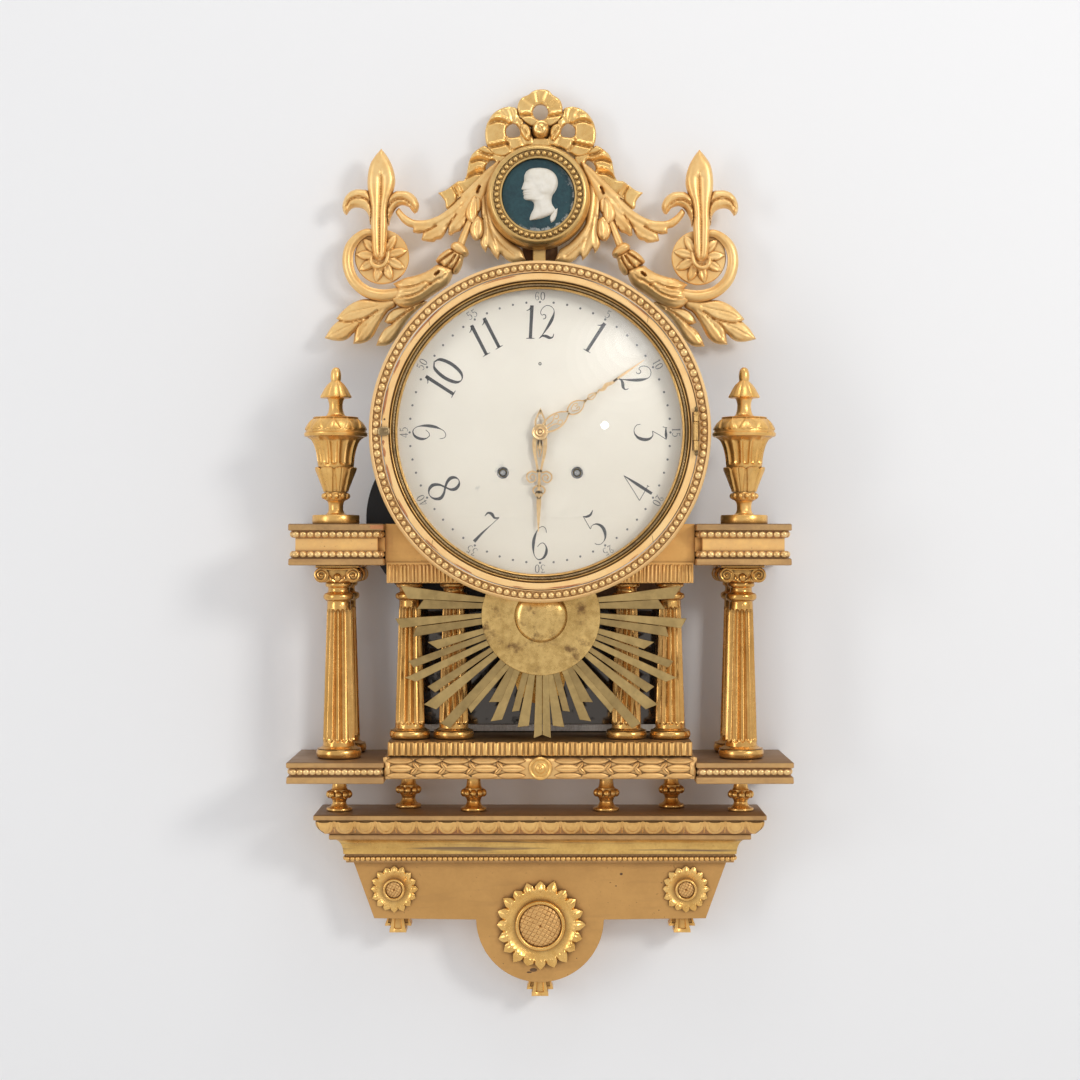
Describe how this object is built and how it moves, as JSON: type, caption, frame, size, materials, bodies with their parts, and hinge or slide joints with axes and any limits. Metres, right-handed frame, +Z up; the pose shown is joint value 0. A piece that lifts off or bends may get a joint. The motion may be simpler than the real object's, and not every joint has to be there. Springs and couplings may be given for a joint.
{
  "type": "giltwood wall clock",
  "caption": "Carved and gilded wall clock with a round glazed dial over a columned mirror niche, a leafy crest with a medallion, and a bracket shelf below.",
  "frame": {"origin": "on the wall plane, on the dial's axis", "axes": "+X to the right seen from the front, +Y into the wall, +Z up"},
  "size_m": [0.5468, 0.169, 1.0254],
  "materials": {
    "burnished_gilding": "burnished water gilding over red bole on carved wood",
    "matt_gilding": "matt gilding over gesso on carved wood",
    "aged_pine": "bare, aged",
    "black_paint": "flat black paint",
    "aged_brass": "sheet, stained with age",
    "brass": "polished, some tarnish",
    "steel": "plain",
    "dial_enamel": "cream white, slightly glossy",
    "clear_glass": "clear, domed",
    "mirror": "old silvering, dark",
    "teal_plaque": "matt, with white relief"
  },
  "bodies": {
    "case": {"back_board": "aged_pine", "back_plate": "brass", "bell": "brass", "bracket_apron": "matt_gilding", "bracket_cornice": "matt_gilding", "cameo_plaque": "teal_plaque", "crest_spray_left": "matt_gilding", "crest_spray_right": "matt_gilding", "dial": "dial_enamel", "drum_ring": "matt_gilding", "entablature_block_left": "matt_gilding", "entablature_block_right": "matt_gilding", "entablature_rail": "matt_gilding", "foot_inner_left": "burnished_gilding", "foot_inner_right": "burnished_gilding", "foot_outer_left": "burnished_gilding", "foot_outer_right": "burnished_gilding", "foot_rear_left": "burnished_gilding", "foot_rear_right": "burnished_gilding", "front_plate": "brass", "hinge_case_leaf": "brass", "inner_column_first_left": "burnished_gilding", "inner_column_first_right": "burnished_gilding", "inner_column_second_left": "burnished_gilding", "inner_column_second_right": "burnished_gilding", "lower_block_left": "matt_gilding", "lower_block_right": "matt_gilding", "medallion_frame": "burnished_gilding", "mirror_plate": "mirror", "movement_case": "black_paint", "outer_column_front_left": "burnished_gilding", "outer_column_front_right": "burnished_gilding", "outer_column_rear_left": "burnished_gilding", "outer_column_rear_right": "burnished_gilding", "plinth_rail": "matt_gilding", "ribbon_bow": "burnished_gilding", "sunburst": "aged_brass", "sunflower_centre": "burnished_gilding", "sunflower_left": "burnished_gilding", "sunflower_right": "burnished_gilding", "urn_left": "burnished_gilding", "urn_right": "burnished_gilding"},
    "door": {"door_ring": "matt_gilding", "glass_bezel": "brass", "door_glass": "clear_glass", "hinge_door_leaf": "brass"},
    "latch": {"turn_button": "brass"},
    "minute_train": {"centre_wheel": "brass", "minute_hand": "brass"},
    "hour_train": {"hour_hand": "brass"},
    "motion_wheel": {"minute_wheel": "brass"},
    "third": {"third_wheel": "brass"},
    "escape": {"escape_wheel": "brass"},
    "going_drum": {"going_barrel": "brass"},
    "going_arbor": {"winding_arbor_going": "steel"},
    "strike_drum": {"strike_barrel": "brass"},
    "strike_arbor": {"winding_arbor_strike": "steel"},
    "strike_hammer": {"hammer": "steel"},
    "swing": {"anchor": "steel", "pendulum": "brass"}
  },
  "joints": [
    {"name": "door_hinge", "type": "hinge", "parent": "case", "child": "door", "pos_m": [0.1665, -0.1615, 0], "axis": [0, 0, 1], "range_deg": [0, 110]},
    {"name": "latch_turn", "type": "hinge", "parent": "door", "child": "latch", "pos_m": [-0.1645, -0.158, 0], "axis": [0, 1, 0], "range_deg": [0, 90]},
    {"name": "minute_turn", "type": "hinge", "parent": "case", "child": "minute_train", "pos_m": [0, -0.09, 0], "axis": [0, 1, 0], "continuous": true},
    {"name": "hour_turn", "type": "hinge", "parent": "case", "child": "hour_train", "pos_m": [0, -0.12, 0], "axis": [0, 1, 0], "continuous": true},
    {"name": "motion_wheel_turn", "type": "hinge", "parent": "case", "child": "motion_wheel", "pos_m": [0, -0.115, 0.02], "axis": [0, 1, 0], "continuous": true},
    {"name": "third_turn", "type": "hinge", "parent": "case", "child": "third", "pos_m": [-0.01435, -0.085, 0.02216], "axis": [0, 1, 0], "continuous": true},
    {"name": "escape_turn", "type": "hinge", "parent": "case", "child": "escape", "pos_m": [0, -0.075, 0.042], "axis": [0, 1, 0], "continuous": true},
    {"name": "going_turn", "type": "hinge", "parent": "case", "child": "going_drum", "pos_m": [0.04, -0.09, -0.0434], "axis": [0, 1, 0], "continuous": true},
    {"name": "going_wind", "type": "hinge", "parent": "case", "child": "going_arbor", "pos_m": [0.04, -0.11, -0.0434], "axis": [0, 1, 0], "range_deg": [0, 1800]},
    {"name": "strike_turn", "type": "hinge", "parent": "case", "child": "strike_drum", "pos_m": [-0.04, -0.075, -0.0434], "axis": [0, 1, 0], "continuous": true},
    {"name": "strike_wind", "type": "hinge", "parent": "case", "child": "strike_arbor", "pos_m": [-0.04, -0.11, -0.0434], "axis": [0, 1, 0], "range_deg": [0, 1800]},
    {"name": "hammer_lift", "type": "hinge", "parent": "case", "child": "strike_hammer", "pos_m": [-0.058, -0.055, 0.0105], "axis": [0, 1, 0], "range_deg": [0, 11], "stiffness_Nm_per_rad": 0.06, "springref_deg": -8.59},
    {"name": "pendulum_swing", "type": "hinge", "parent": "case", "child": "swing", "pos_m": [0, -0.05, 0.066], "axis": [0, 1, 0], "range_deg": [-3, 3]}
  ],
  "couplings": [
    {"joint": "hour_turn", "follows": "minute_turn", "ratio": 0.083333},
    {"joint": "motion_wheel_turn", "follows": "minute_turn", "ratio": -0.33333},
    {"joint": "third_turn", "follows": "minute_turn", "ratio": -10},
    {"joint": "escape_turn", "follows": "minute_turn", "ratio": 102.86},
    {"joint": "going_turn", "follows": "minute_turn", "ratio": -0.125}
  ]
}
